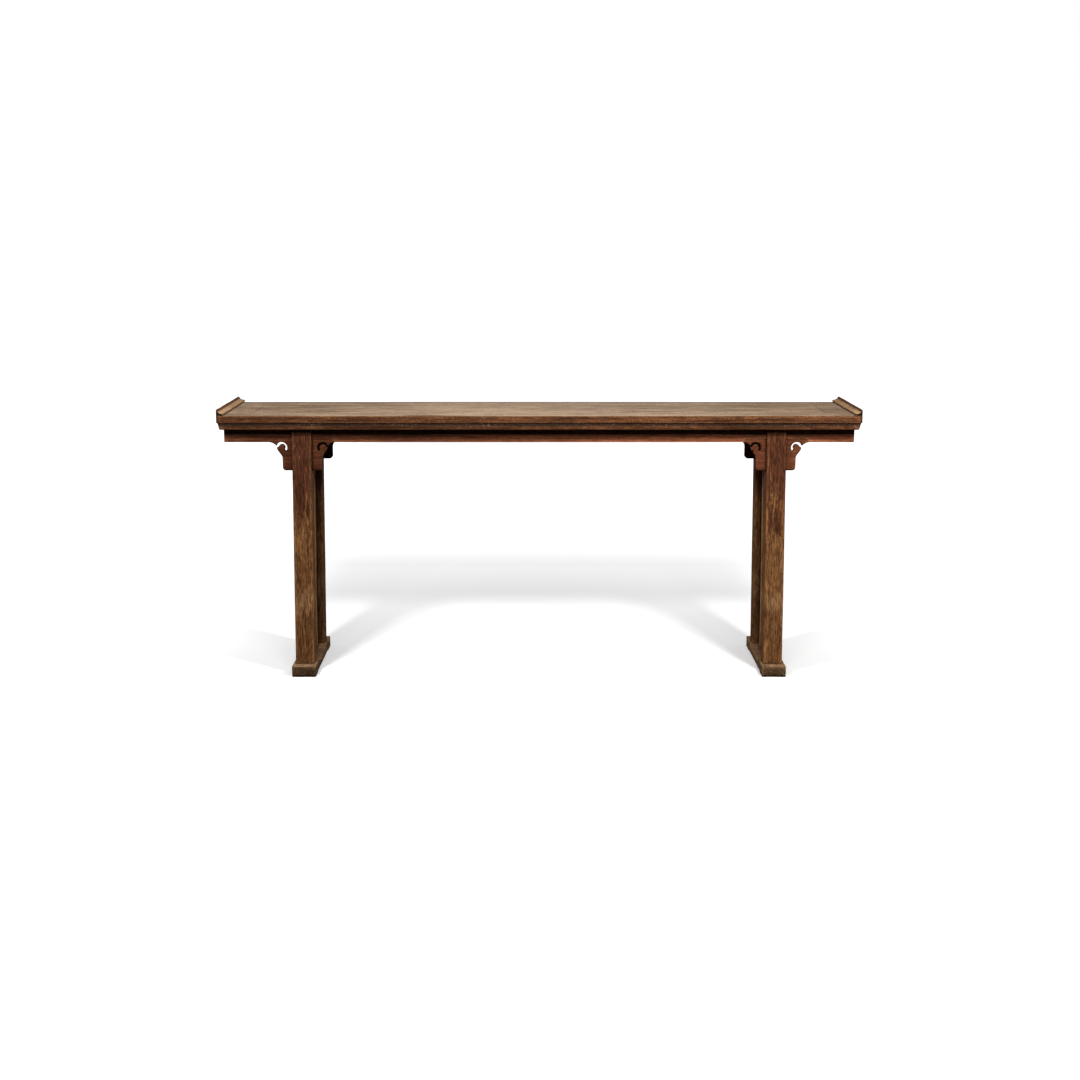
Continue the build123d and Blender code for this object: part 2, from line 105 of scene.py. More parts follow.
# Each lamp's place, the height above the middle of the floor that it faces, its width and height.
LAMPS = {
    "left_lamp": ((-1.25, -1.65, 2.0), 0.7, 0.25, 0.25),
    "right_lamp": ((1.25, -1.65, 2.0), 0.7, 0.25, 0.25),
    "front_lamp": ((0.0, -4.2, 2.7), 0.6, 3.0, 0.25),
    "top_lamp": ((0.0, -0.4, 3.4), 0.9, 4.0, 2.4),
    "left_end_lamp": ((-4.2, 0.6, 2.0), 0.6, 1.6, 0.8),
    "right_end_lamp": ((4.2, 0.6, 2.0), 0.6, 1.6, 0.8),
    "back_lamp": ((0.0, 4.4, 2.2), 0.6, 3.0, 0.6),
}
SENSOR_WIDTH = 36

# The floor's half width, and how the lamps' light falls away on it from a place in front of the
# table: its shift, how much a metre counts along and across, its power and its strength.
FLOOR_HALF = 20.0
LIGHT_SHIFT = (0.0, 0.286, 0.0)
LIGHT_SPREAD = (0.274, 0.251, 0.0)
LIGHT_FALL = -3.14
LIGHT_STRENGTH = 1.22

# How far out beside the table a further glow sets in, how far out it is full, and its strength.
SIDE_GLOW_START = 1.0
SIDE_GLOW_FULL = 1.4
SIDE_GLOW = 0.14

# How near corners are merged and cuts snap to them, how little two faces may turn to be joined,
# from which turn on an edge stays sharp, and how far apart the patterns of like pieces lie.
MERGE_REACH = 0.01 * MM
CUT_REACH = 0.02 * MM
FLAT_TURN = math.radians(0.4)
SHARP_TURN = math.radians(38)
SEED_STEP = 3.7


def linear(code):
    """Turns an sRGB hex colour into the linear values that Blender's sockets take."""
    shares = [int(code[place:place + 2], 16) / 255 for place in (1, 3, 5)]
    return tuple(s / 12.92 if s <= 0.04045 else ((s + 0.055) / 1.055) ** 2.4 for s in shares)


def colour(value, strength=1.0):
    """Gives a colour socket's four values, darker or lighter by a strength."""
    return (*(part * strength for part in value), 1.0)


def tint(label, description, code):
    """Makes a colour setting whose default is an sRGB hex value."""
    return bpy.props.FloatVectorProperty(
        name=label, description=description, default=linear(code), size=3, min=0, max=1, subtype="COLOR")


def measure(label, description, millimetres):
    """Makes a length setting whose default is given in millimetres."""
    return bpy.props.FloatProperty(
        name=label, description=description, default=millimetres * MM, min=0, unit="LENGTH")


def power(label, description, watts):
    """Makes the setting of a lamp's power."""
    return bpy.props.FloatProperty(
        name=label, description=description, default=watts, min=0, unit="POWER")


def add(tree, kind, feeds=None, **settings):
    """Adds a node with its settings, and sets each of its sockets to a value or links it."""
    made = tree.nodes.new(kind)
    for label, value in settings.items():
        setattr(made, label, value)
    for socket, value in (feeds or {}).items():
        if isinstance(value, bpy.types.NodeSocket):
            tree.links.new(value, made.inputs[socket])
        else:
            made.inputs[socket].default_value = value
    return made


# Sizes and colours ----------------------------------------------------------------------------

class AltarTableFinish(bpy.types.PropertyGroup):
    """The colours of the elm, of what is left of its lacquer, and of painted light and shade."""

    top_wood: tint("Top, rubbed wood", "Grey brown of the rubbed top", "#BBA187")
    top_shade: tint("Top, dark grain", "Dark streaks in the top", "#846D57")
    edge_wood: tint("Edge, rubbed wood", "Wood showing on the moulded edge", "#7E5233")
    edge_lacquer: tint("Edge, lacquer", "Old lacquer on the moulded edge", "#53311E")
    flange_wood: tint("Flange, rubbed wood", "Bare wood of the everted flanges", "#A27E5A")
    flange_shade: tint("Flange, dark grain", "Dark streaks of the everted flanges", "#70523A")
    # The palest wood in the flanges' hollows is a painted highlight on the faces that look up.
    flange_lit_hollow: tint("Flange, handled hollow", "Palest wood in the flanges' hollows", "#BFA07E")
    apron_lacquer: tint("Apron, lacquer", "Red brown lacquer of aprons and spandrels", "#6C3C27")
    apron_wood: tint("Apron, rubbed lacquer", "Thin lacquer of aprons and spandrels", "#8C5A3B")
    leg_lacquer: tint("Leg, lacquer", "Red brown lacquer at the tops of the legs", "#5E3725")
    leg_wood: tint("Leg, rubbed wood", "Wood showing on the legs", "#865D38")
    leg_bare: tint("Leg, bare wood", "Palest wood low on the legs", "#AA8259")
    foot_wood: tint("Foot, rubbed wood", "Grey brown wood of the feet", "#A6825C")
    foot_shade: tint("Foot, soiled wood", "Dark soiled wood of the feet", "#5C4330")
    foot_top: tint("Foot, trodden wood", "Wood on the tops of the feet", "#AC8761")
    foot_dip: tint("Foot, dusty wood", "Dusty streaks on the tops of the feet", "#7D6147")
    # This grey colour is painted shade below the upper band of the top's moulding.
    band_shade: tint("Soot", "Grey dirt in the shelter of a moulding", "#3B302A")
    dust: tint("Dust", "Specks of pale dust on soiled wood", "#9A9184")
    # This colour is a painted shadow that the top casts on the aprons and spandrels below it.
    painted_shadow: tint("Smoke", "Smoke and dust close below the top", "#2E1E15")
    # This colour is grime, and also painted shade in corners, joints and grooves.
    soil_and_shade: tint("Soil", "Dirt and smoke in corners and grooves", "#1C120B")


class AltarTableWear(bpy.types.PropertyGroup):
    """How far hands and age have worn the pieces, and how far painted shade reaches out of corners."""

    hollow_depth: measure("Hollows", "Deepest hollow of the hand-planed faces", 0.5)
    hollow_size: measure("Hollow size", "Length of a hollow", 120)
    arris_depth: measure("Arris wear", "Most that an arris is worn back", 1.1)
    arris_size: measure("Arris wear size", "Length of a worn place on an arris", 45)
    arris_reach: measure("Rubbed arris", "How far from an arris the lacquer is rubbed", 14)
    # The two reaches set how far painted shade and grime reach out of corners, joints and grooves.
    corner_shade_reach: measure("Soiled corner", "How far out of a corner the dirt reaches", 28)
    crevice_shade_reach: measure("Soiled crevice", "How far out of a joint or groove packed dirt reaches", 6)


class AltarTableStudio(bpy.types.PropertyGroup):
    """The camera and the lamps."""

    lens: bpy.props.FloatProperty(
        name="Lens", description="Focal length in millimetres", default=50.1, min=10, subtype="UNSIGNED")
    camera_place: bpy.props.FloatVectorProperty(
        name="Camera place", description="Where the camera stands", default=(-0.03, -5.145, 1.524),
        subtype="TRANSLATION", unit="LENGTH")
    camera_tilt: bpy.props.FloatProperty(
        name="Camera tilt", description="How far the camera looks down",
        default=math.radians(11.909), unit="ROTATION")
    camera_shift: bpy.props.FloatProperty(
        name="Camera shift", description="Sideways shift that centres the table", default=0.00907)
    left_lamp_power: power("Left lamp", "Power of the lamp at the front left", 37)
    right_lamp_power: power("Right lamp", "Power of the lamp at the front right", 40)
    front_lamp_power: power("Front lamp", "Power of the long front lamp", 112)
    top_lamp_power: power("Top lamp", "Power of the wide lamp overhead", 6)
    left_end_lamp_power: power("Left end lamp", "Power of the lamp beyond the left end", 11)
    right_end_lamp_power: power("Right end lamp", "Power of the lamp beyond the right end", 15)
    back_lamp_power: power("Back lamp", "Power of the long lamp behind the table", 16)
    room_light: bpy.props.FloatProperty(
        name="Room light", description="Light that comes from all round", default=0.03, min=0, max=1,
        subtype="FACTOR")


# Patterns -------------------------------------------------------------------------------------

def along_grain(tree, sides, grain):
    """Turns a place's three values into along, across and through the grain, in metres."""
    return add(tree, "ShaderNodeCombineXYZ", {
        way: sides[side] for way, side in enumerate(GRAIN_ORDER[grain])}).outputs[0]


def noise(tree, board, along, across, detail, rough, seed):
    """Gives noise whose patches are that long along the grain and that wide across it, in metres."""
    spread = add(tree, "ShaderNodeMapping", {
        "Vector": board, "Scale": (1 / along, 1 / across, 1 / across)}).outputs[0]
    return add(tree, "ShaderNodeTexNoise", {
        "Vector": spread, "W": seed, "Scale": 1.0, "Detail": detail, "Roughness": rough},
        noise_dimensions="4D").outputs


def sum_of(tree, *terms):
    """Adds values up, each given with its weight."""
    total = 0.0
    for value, weight in terms:
        total = add(tree, "ShaderNodeMath", {0: value, 1: weight, 2: total},
                    operation="MULTIPLY_ADD").outputs[0]
    return total


def product_of(tree, *values):
    """Multiplies values."""
    total = values[0]
    for value in values[1:]:
        total = add(tree, "ShaderNodeMath", {0: total, 1: value}, operation="MULTIPLY").outputs[0]
    return total


def smooth(tree, *changes):
    """Multiplies smooth changes: each has a value, two levels of it and what they turn into."""
    levels = [
        add(tree, "ShaderNodeMapRange", {
            "Value": value, "From Min": low, "From Max": high, "To Min": start, "To Max": end},
            interpolation_type="SMOOTHSTEP").outputs[0]
        for value, low, high, start, end in changes]
    return product_of(tree, *levels)


# Old elm --------------------------------------------------------------------------------------

class OldElm:
    """Old elm under thin lacquer that hands have rubbed through, built up layer by layer.

    The eye sees long streaks of open-pored early wood, rings that run out in slow curves, lacquer
    that is whole in sheltered places and gone from arrises, and grime in corners. Some layers paint
    light and shade: shade in corners and below overhangs, light and shade across the table and on
    arrises. A material calls the layers that it has in the order in which they stand here.
    """

    def __init__(self, label, grain, seed, streak=(300 * MM, 7 * MM), pith=(110 * MM, 160 * MM)):
        self.material = bpy.data.materials.new(label)
        self.material.use_nodes = True
        self.tree = self.material.node_tree
        self.tree.nodes.clear()
        self.grain = grain
        self.seed = seed
        self.soil_and_shade = colour(bpy.context.scene.altar_finish.soil_and_shade)
        self.strip = 0.0
        self.read_shape(bpy.context.scene.altar_wear)
        self.grow(streak, pith)

    def read_shape(self, wear):
        """Finds the places and slopes of the piece, its arrises, its corners and its crevices."""
        tree = self.tree
        self.place = add(tree, "ShaderNodeTexCoord").outputs["Object"]
        self.sides = add(tree, "ShaderNodeSeparateXYZ", {0: self.place}).outputs
        normal = add(tree, "ShaderNodeNewGeometry").outputs["Normal"]
        self.facing = add(tree, "ShaderNodeSeparateXYZ", {0: normal}).outputs
        arris = add(tree, "ShaderNodeAmbientOcclusion", {"Distance": wear.arris_reach},
                    samples=6, inside=True, only_local=True).outputs["AO"]
        corner = add(tree, "ShaderNodeAmbientOcclusion", {"Distance": wear.corner_shade_reach},
                     samples=6).outputs["AO"]
        crevice = add(tree, "ShaderNodeAmbientOcclusion", {"Distance": wear.crevice_shade_reach},
                      samples=6).outputs["AO"]
        self.arris = smooth(tree, (arris, 0.55, 0.8, 1.0, 0.0))
        self.corner = smooth(tree, (corner, 0.25, 0.8, 1.0, 0.0))
        self.crevice = smooth(tree, (crevice, 0.4, 0.8, 1.0, 0.0))

    def grow(self, streak, pith):
        """Makes the patterns of the board, from its growth rings to its slow changes."""
        tree = self.tree
        seed = self.seed
        board = along_grain(tree, self.sides, self.grain)
        # Growth rings wander slowly along the board, round a pith that lies outside it.
        drift = noise(tree, board, 900 * MM, 160 * MM, 1.0, 0.5, seed)["Color"]
        drift = add(tree, "ShaderNodeVectorMath", {0: drift, 1: (0.5, 0.5, 0.5)},
                    operation="SUBTRACT").outputs[0]
        drift = add(tree, "ShaderNodeVectorMath", {0: drift, "Scale": 45 * MM},
                    operation="SCALE").outputs[0]
        heart = add(tree, "ShaderNodeVectorMath", {0: board, 1: (0.0, *pith)}, operation="ADD").outputs[0]
        heart = add(tree, "ShaderNodeVectorMath", {0: heart, 1: drift}, operation="ADD").outputs[0]
        self.rings = add(tree, "ShaderNodeTexWave", {
            "Vector": heart, "Scale": math.tau / 20 / RING_WIDTH, "Distortion": 1.6, "Detail": 2.0,
            "Detail Scale": 0.5}, wave_type="RINGS", rings_direction="X", wave_profile="SIN").outputs["Fac"]
        self.streaks = noise(tree, board, *streak, 4.0, 0.6, seed + 1)["Fac"]
        # Pores are under a millimetre wide, and are drawn 2.5 mm wide so that they show.
        self.pits = noise(tree, board, 38 * MM, 2.5 * MM, 2.0, 0.6, seed + 2)["Fac"]
        self.patches = noise(tree, board, 160 * MM, 45 * MM, 4.0, 0.6, seed + 3)["Fac"]
        self.cloud = noise(tree, board, 500 * MM, 250 * MM, 2.0, 0.5, seed + 4)["Fac"]
        # Fibres and flecks are a millimetre wide, and are drawn 5 and 6 mm wide for the same reason.
        self.fibres = noise(tree, board, 50 * MM, 5 * MM, 4.0, 0.75, seed + 6)["Fac"]
        self.flecks = noise(tree, board, 18 * MM, 6 * MM, 4.0, 0.8, seed + 7)["Fac"]
        self.board = board

    def lay(self, paint, *shares):
        """Lays a colour over the surface, as far as all the shares together let it."""
        self.surface = add(self.tree, "ShaderNodeMix", {
            0: product_of(self.tree, *shares), 6: self.surface, 7: paint}, data_type="RGBA").outputs[2]

    def dim(self, *levels):
        """Darkens or lightens the surface by all the levels together."""
        level = product_of(self.tree, *levels)
        grey = add(self.tree, "ShaderNodeCombineColor", {0: level, 1: level, 2: level}).outputs[0]
        self.surface = add(self.tree, "ShaderNodeMix", {0: 1.0, 6: self.surface, 7: grey},
                           data_type="RGBA", blend_type="MULTIPLY").outputs[2]

    def wood(self, bare, dark):
        """Lays the bare wood, pale with dark streaks, fibres and flecks."""
        figure = sum_of(self.tree, (self.rings, 0.04), (self.streaks, 0.30), (self.fibres, 0.30),
                        (self.flecks, 0.36))
        # Wood on a worn arris is paler than bare wood, which paints the highlight that arrises catch.
        self.clean = colour(bare, WORN_ARRIS_HIGHLIGHT)
        self.surface = colour(dark)
        self.lay(colour(bare), smooth(self.tree, (figure, 0.36, 0.62, 0.0, 1.0)))

    def mop_mark(self, pale):
        """Lays the pale, ragged mark that wet mops have left."""
        low, high = MOP_MARK
        height = sum_of(self.tree, (self.sides[2], 1.0), (self.patches, 0.10), (self.streaks, 0.12))
        mark = smooth(self.tree, (height, low - 20 * MM, low, 0.0, 1.0),
                      (height, high, high + 20 * MM, 1.0, 0.0))
        self.lay(colour(pale), mark, 0.32)

    def lacquer(self, coat, cover, contrast=1.0, low_wear=0.0):
        """Covers a share of the wood in lacquer, thinner where the wood stands proud.

        contrast says how sharply the lacquer ends, and low_wear how much more of it is worn off
        towards the floor.
        """
        wood = self.surface
        self.surface = colour(coat, THICK_LACQUER)
        self.lay(colour(coat), smooth(self.tree, (self.streaks, 0.35, 0.7, 0.0, 1.0)))
        low = smooth(self.tree, (self.sides[2], 100 * MM, WORN_BELOW, 1.0, 0.0))
        rubbing = sum_of(self.tree, (self.patches, 0.5), (self.streaks, 0.25), (self.fibres, 0.35),
                         (self.flecks, 0.3), (self.arris, 0.15), (self.cloud, 0.15),
                         (self.corner, -0.2), (low, low_wear))
        middle = 0.54 + 0.5 * cover
        half = 0.12 / contrast
        self.rubbed = smooth(self.tree, (rubbing, middle - half, middle + half, 0.0, 1.0))
        self.lay(wood, self.rubbed)

    def rub_and_light_arrises(self, amount, high_share=1.0):
        """Rubs the arrises to clean wood here and there, above WORN_BELOW by a share as much. The pale wood
        also paints the highlight of a rounded arris.
        """
        texture = sum_of(self.tree, (self.streaks, 0.5), (self.flecks, 0.5))
        touched = smooth(self.tree, (texture, 0.38, 0.58, 0.3, 1.0),
                         (self.sides[2], 450 * MM, WORN_BELOW, 1.0, high_share))
        self.lay(self.clean, self.arris, touched, amount)

    def fade(self, left=0.66, right=1.0, middle=1.0, flank=1.0, rear=1.0):
        """Paints light and shade: tones the surface from the left end to the right one, and darkens both
        tips with painted shade where their corners turn away from the light.

        middle, flank and rear are further levels: for the middle of the table, which it darkens, for
        faces that look sideways, which it lights, and for what lies behind the front pieces, which it
        shades.
        """
        along = self.sides[0]
        light_across = add(self.tree, "ShaderNodeMapRange", {
            "Value": along, "From Min": -900 * MM, "From Max": 900 * MM, "To Min": left,
            "To Max": right}).outputs[0]
        out = add(self.tree, "ShaderNodeMath", {0: along}, operation="ABSOLUTE").outputs[0]
        sideways = add(self.tree, "ShaderNodeMath", {0: self.facing[0]}, operation="ABSOLUTE").outputs[0]
        self.dim(light_across, smooth(self.tree,
                              (out, 100 * MM, 750 * MM, middle, 1.0),
                              (out, TABLE_END - 14 * MM, TABLE_END - 2 * MM, 1.0, 0.4),
                              (sideways, 0.5, 0.9, 1.0, flank),
                              (self.sides[1], 0.0, 100 * MM, 1.0, rear)))

    def dark_strip(self, shade_and_dirt, heights, softness=3 * MM):
        """Lays a mottled dark colour on a strip between two heights: painted shade below the top and its
        moulding and on the flanges' crest, and the dark lower edge of the feet.
        """
        low, high = heights
        height = self.sides[2]
        self.strip = smooth(self.tree, (height, low - softness, low + softness, 0.0, 1.0),
                            (height, high - 0.5 * MM, high + 0.5 * MM, 1.0, 0.0))
        mottle = sum_of(self.tree, (self.flecks, 0.6), (self.streaks, 0.4))
        self.lay(colour(shade_and_dirt), self.strip, smooth(self.tree, (mottle, 0.35, 0.6, 0.95, 0.45)))

    def soil_ends(self, amount=0.5):
        """Darkens the end grain, which soaks up dirt."""
        endways = add(self.tree, "ShaderNodeMath", {0: self.facing["XYZ".index(self.grain)]},
                      operation="ABSOLUTE").outputs[0]
        self.lay(self.soil_and_shade, smooth(self.tree, (endways, 0.6, 0.95, 0.0, amount)))

    def crown(self, bare, dark, grain=None, far_arris=False, shade_and_dirt=0.0):
        """Rubs and greys the faces that look up, and leaves a share of the painted shade and grime in their
        corners.

        Where the piece has the top's far arris, the lacquer beside it stays.
        """
        tree = self.tree
        clear = add(tree, "ShaderNodeMath", {0: 1.0, 1: self.strip}, operation="SUBTRACT").outputs[0]
        beside_arris = 0.0 if far_arris else 1.0
        upward = product_of(tree, clear, smooth(
            tree, (self.facing[2], 0.6, 0.85, 0.0, 1.0),
            (self.sides[1], FAR_EDGE - 22 * MM, FAR_EDGE - 10 * MM, 1.0, beside_arris)))
        exposed = add(tree, "ShaderNodeMath", {0: upward, 1: shade_and_dirt - 1.0, 2: 1.0},
                      operation="MULTIPLY_ADD").outputs[0]
        self.corner = product_of(tree, self.corner, exposed)
        self.crevice = product_of(tree, self.crevice, exposed)
        rubbed = add(tree, "ShaderNodeMix", {
            0: self.crown_figure(grain or self.grain), 6: colour(dark), 7: colour(bare)},
            data_type="RGBA").outputs[2]
        self.lay(rubbed, upward)

    def crown_figure(self, grain):
        """Gives the long soft streaks and blotches of a rubbed top, the same over all its boards."""
        tree = self.tree
        board = along_grain(tree, self.sides, grain)
        # Fibres are a millimetre wide, and are drawn 14 mm wide so that a low view shows them.
        fibres = noise(tree, board, 50 * MM, 14 * MM, 4.0, 0.75, 201.0)["Fac"]
        streaks = noise(tree, board, 400 * MM, 22 * MM, 3.0, 0.6, 200.0)["Fac"]
        blotches = noise(tree, board, 220 * MM, 50 * MM, 4.0, 0.6, 202.0)["Fac"]
        out = add(tree, "ShaderNodeMath", {0: self.sides[0]}, operation="ABSOLUTE").outputs[0]
        # Painted light: the top is a little lighter in the middle and darker towards the ends.
        painted_light = smooth(tree, (out, 100 * MM, 1000 * MM, 0.02, -0.06))
        shift = [-middle / reach for middle, reach in zip(STAIN_MIDDLE, STAIN_REACH)]
        away = add(tree, "ShaderNodeMapping", {
            "Vector": self.place, "Location": (*shift, 0.0),
            "Scale": (1 / STAIN_REACH[0], 1 / STAIN_REACH[1], 0.0)}).outputs[0]
        away = add(tree, "ShaderNodeVectorMath", {0: away}, operation="LENGTH").outputs["Value"]
        ragged = sum_of(tree, (away, 1.0), (blotches, 1.5))
        stain = smooth(tree, (ragged, 0.9, 1.9, -0.3, 0.0))
        figure = sum_of(tree, (streaks, 0.3), (fibres, 0.3), (blotches, 0.4), (painted_light, 1.0),
                        (stain, 1.0))
        return smooth(tree, (figure, 0.36, 0.62, 0.0, 1.0))

    def open_pores(self, amount=0.2, size=(9 * MM, 4 * MM)):
        """Adds slow changes of tone and the open pores that make elm look grainy.

        The grain that they give is finer than a millimetre, and is drawn some millimetres wide so
        that it shows.
        """
        tone = sum_of(self.tree, (self.cloud, 0.5), (self.patches, 0.5))
        grain = noise(self.tree, self.board, *size, 2.0, 0.8, self.seed + 8)["Fac"]
        self.dim(smooth(self.tree, (tone, 0.3, 0.7, 0.78, 1.18),
                        (grain, 0.38, 0.62, 1 - amount, 1 + amount)))
        self.pored = smooth(self.tree, (self.pits, 0.36, 0.5, 0.45, 0.0))
        self.lay(self.soil_and_shade, self.pored)

    def specks(self, dust, amount):
        """Lays specks of pale dust, most of them on the dark strip."""
        grit = noise(self.tree, self.board, 9 * MM, 4 * MM, 2.0, 0.7, self.seed + 5)["Fac"]
        caught = add(self.tree, "ShaderNodeMath", {0: self.strip, 1: 0.85, 2: 0.15},
                     operation="MULTIPLY_ADD").outputs[0]
        self.lay(colour(dust), caught, smooth(self.tree, (grit, 0.58, 0.68, 0.0, amount),
                                              (self.patches, 0.42, 0.62, 0.0, 1.0)))

    def shade_and_soil_corners(self, amount=0.85):
        """Lays painted shade with grime in corners, and packed grime with painted shade in crevices."""
        self.lay(self.soil_and_shade, self.corner, amount)
        self.lay(self.soil_and_shade, self.crevice, 0.9)

    def finished(self):
        """Makes the surface dull, with open pores, and gives the material."""
        tree = self.tree
        gloss = sum_of(tree, (ROUGH_LACQUER, 1.0), (self.rubbed, ROUGH_WOOD - ROUGH_LACQUER),
                       (self.pored, 0.1))
        relief = sum_of(tree, (self.pits, 0.3), (self.streaks, 0.6), (self.rings, 0.1),
                        (self.rubbed, -0.15))
        bump = add(tree, "ShaderNodeBump", {
            "Height": relief, "Strength": 0.5, "Distance": 0.8 * MM}).outputs[0]
        shader = add(tree, "ShaderNodeBsdfPrincipled", {
            "Base Color": self.surface, "Roughness": gloss, "Normal": bump, "IOR": 1.45,
            "Specular IOR Level": 0.02}).outputs[0]
        add(tree, "ShaderNodeOutputMaterial", {"Surface": shader})
        return self.material


def long_rail_elm(hues):
    # A greyed, streaky top meets a dark edge whose lower band is greyed by painted shade below the upper
    # band, and by dust.
    elm = OldElm("rubbed elm, moulded long rails", "X", 1.0)
    elm.wood(hues.edge_wood, hues.edge_lacquer)
    elm.lacquer(hues.edge_lacquer, 0.5, contrast=1.1)
    elm.rub_and_light_arrises(0.25)
    elm.fade(left=0.75, right=0.9, middle=0.79)
    elm.dark_strip(hues.band_shade, LOWER_BAND)
    elm.soil_ends()
    elm.crown(hues.top_wood, hues.top_shade, far_arris=True)
    elm.open_pores(0.42, (6 * MM, 3 * MM))
    elm.specks(hues.dust, 0.7)
    elm.shade_and_soil_corners(0.7)
    return elm.finished()


def end_rail_elm(hues):
    # The same, but the figure of the top runs on across the mitres, as rubbing has left it.
    elm = OldElm("rubbed elm, moulded end rails", "Y", 21.0)
    elm.wood(hues.edge_wood, hues.edge_lacquer)
    elm.lacquer(hues.edge_lacquer, 0.5, contrast=0.6)
    elm.rub_and_light_arrises(0.2)
    elm.fade()
    elm.dark_strip(hues.band_shade, LOWER_BAND)
    elm.soil_ends()
    elm.crown(hues.top_wood, hues.top_shade, grain="X")
    elm.open_pores()
    elm.specks(hues.dust, 0.5)
    elm.shade_and_soil_corners()
    return elm.finished()


def top_panel_elm(hues):
    # A wide board with long, slow streaks, rubbed grey brown above and plain brown below.
    elm = OldElm("rubbed elm, floating panel", "X", 31.0, streak=(450 * MM, 9 * MM),
                 pith=(50 * MM, 220 * MM))
    elm.wood(hues.leg_wood, hues.edge_lacquer)
    elm.lacquer(hues.edge_lacquer, 0.2)
    # Painted light and shade across the table, with a darker middle.
    elm.fade(middle=0.64)
    elm.soil_ends()
    elm.crown(hues.top_wood, hues.top_shade)
    elm.open_pores()
    elm.shade_and_soil_corners()
    return elm.finished()


def flange_elm(hues):
    # Hands have taken the lacquer off; straw-coloured hollows, a painted highlight, stand below a crest
    # darkened by painted shade.
    elm = OldElm("bare rubbed elm, everted flanges", "Y", 51.0, streak=(200 * MM, 4 * MM))
    elm.wood(hues.flange_wood, hues.flange_shade)
    elm.lacquer(hues.edge_lacquer, 0.12)
    elm.rub_and_light_arrises(0.1)
    elm.fade(left=1.05, right=0.95)
    elm.dark_strip(hues.edge_lacquer, FLANGE_CREST_SHADE)
    elm.soil_ends(1.0)
    elm.crown(hues.flange_lit_hollow, hues.flange_wood)
    elm.open_pores()
    elm.shade_and_soil_corners()
    return elm.finished()


def apron_elm(hues):
    # Red brown lacquer, painted lighter to the right, under a crisp-edged painted shadow of the top.
    elm = OldElm("lacquered elm, long aprons", "X", 61.0)
    elm.wood(hues.apron_wood, hues.leg_lacquer)
    elm.lacquer(hues.apron_lacquer, 0.68, contrast=0.6)
    elm.fade(left=0.8, right=1.77, middle=0.88)
    elm.dark_strip(hues.painted_shadow, SHADOW_BELOW_TOP, 1 * MM)
    elm.soil_ends()
    elm.open_pores(0.14)
    elm.shade_and_soil_corners(0.3)
    return elm.finished()


def spandrel_elm(hues):
    # The lacquer of the aprons, almost whole, because hands don't reach the cloud heads, with the same
    # painted shadow of the top and painted shade to the left.
    elm = OldElm("lacquered elm, cloud-head spandrels", "X", 81.0, streak=(120 * MM, 6 * MM))
    elm.wood(hues.apron_wood, hues.leg_lacquer)
    elm.lacquer(hues.apron_lacquer, 0.74, contrast=0.6)
    elm.fade(left=0.46, middle=0.91)
    elm.dark_strip(hues.painted_shadow, SHADOW_BELOW_TOP, 1 * MM)
    elm.soil_ends()
    elm.open_pores(0.14)
    elm.shade_and_soil_corners()
    return elm.finished()


def leg_elm(hues):
    # Brown lacquer above; below, straw wood shows in upright streaks with a pale mop's mark.
    elm = OldElm("lacquered elm, legs", "Z", 91.0, streak=(100 * MM, 7 * MM))
    elm.wood(hues.leg_wood, hues.edge_lacquer)
    elm.mop_mark(hues.leg_bare)
    elm.lacquer(hues.leg_lacquer, 0.67, contrast=2.2, low_wear=0.40)
    # The rubbed arrises carry a painted highlight; the faces that look sideways get painted light and the
    # back legs painted shade.
    elm.rub_and_light_arrises(1.0, high_share=0.15)
    elm.fade(flank=1.3, rear=0.62)
    elm.soil_ends()
    elm.open_pores(0.45, (26 * MM, 2.8 * MM))
    elm.shade_and_soil_corners(0.6)
    return elm.finished()


def stile_elm(hues):
    # Rubbed like the legs beside them, but paler and softer, with pale arrises that carry a painted
    # highlight, and painted light on the faces that look sideways.
    elm = OldElm("lacquered elm, side stiles", "Z", 111.0)
    elm.wood(hues.leg_bare, hues.leg_lacquer)
    elm.lacquer(hues.leg_lacquer, 0.4, low_wear=0.40)
    elm.rub_and_light_arrises(0.8, high_share=0.15)
    elm.fade(flank=1.3)
    elm.soil_ends()
    elm.open_pores()
    elm.shade_and_soil_corners(0.3)
    return elm.finished()


def foot_elm(hues):
    # Trodden, mottled and dull: pale worn arrises with a painted highlight over a dark lower edge, and
    # painted shade towards the left.
    elm = OldElm("soiled bare elm, sled feet", "Y", 131.0, streak=(80 * MM, 6 * MM))
    elm.wood(hues.foot_wood, hues.foot_shade)
    elm.lacquer(hues.foot_shade, 0.45, contrast=1.4)
    elm.rub_and_light_arrises(0.6)
    elm.fade(left=0.52)
    elm.dark_strip(hues.soil_and_shade, FOOT_BASE)
    elm.soil_ends()
    elm.crown(hues.foot_top, hues.foot_dip, shade_and_dirt=0.8)
    elm.open_pores(0.35)
    elm.specks(hues.dust, 0.4)
    elm.shade_and_soil_corners()
    return elm.finished()


def sheltered_elm(label, grain, seed, bare, dark, coat, cover, contrast=1.0, middle=1.0, shade_and_dirt=0.85):
    # Battens, end aprons, cross members and side panels stand in the shade: their brown is even,
    # with little wear, grime and painted shade in the corners, and painted light and shade across the table.
    elm = OldElm(label, grain, seed)
    elm.wood(bare, dark)
    elm.lacquer(coat, cover, contrast)
    elm.fade(middle=middle)
    elm.soil_ends()
    elm.open_pores()
    elm.shade_and_soil_corners(shade_and_dirt)
    return elm.finished()


# Worn pieces ----------------------------------------------------------------------------------

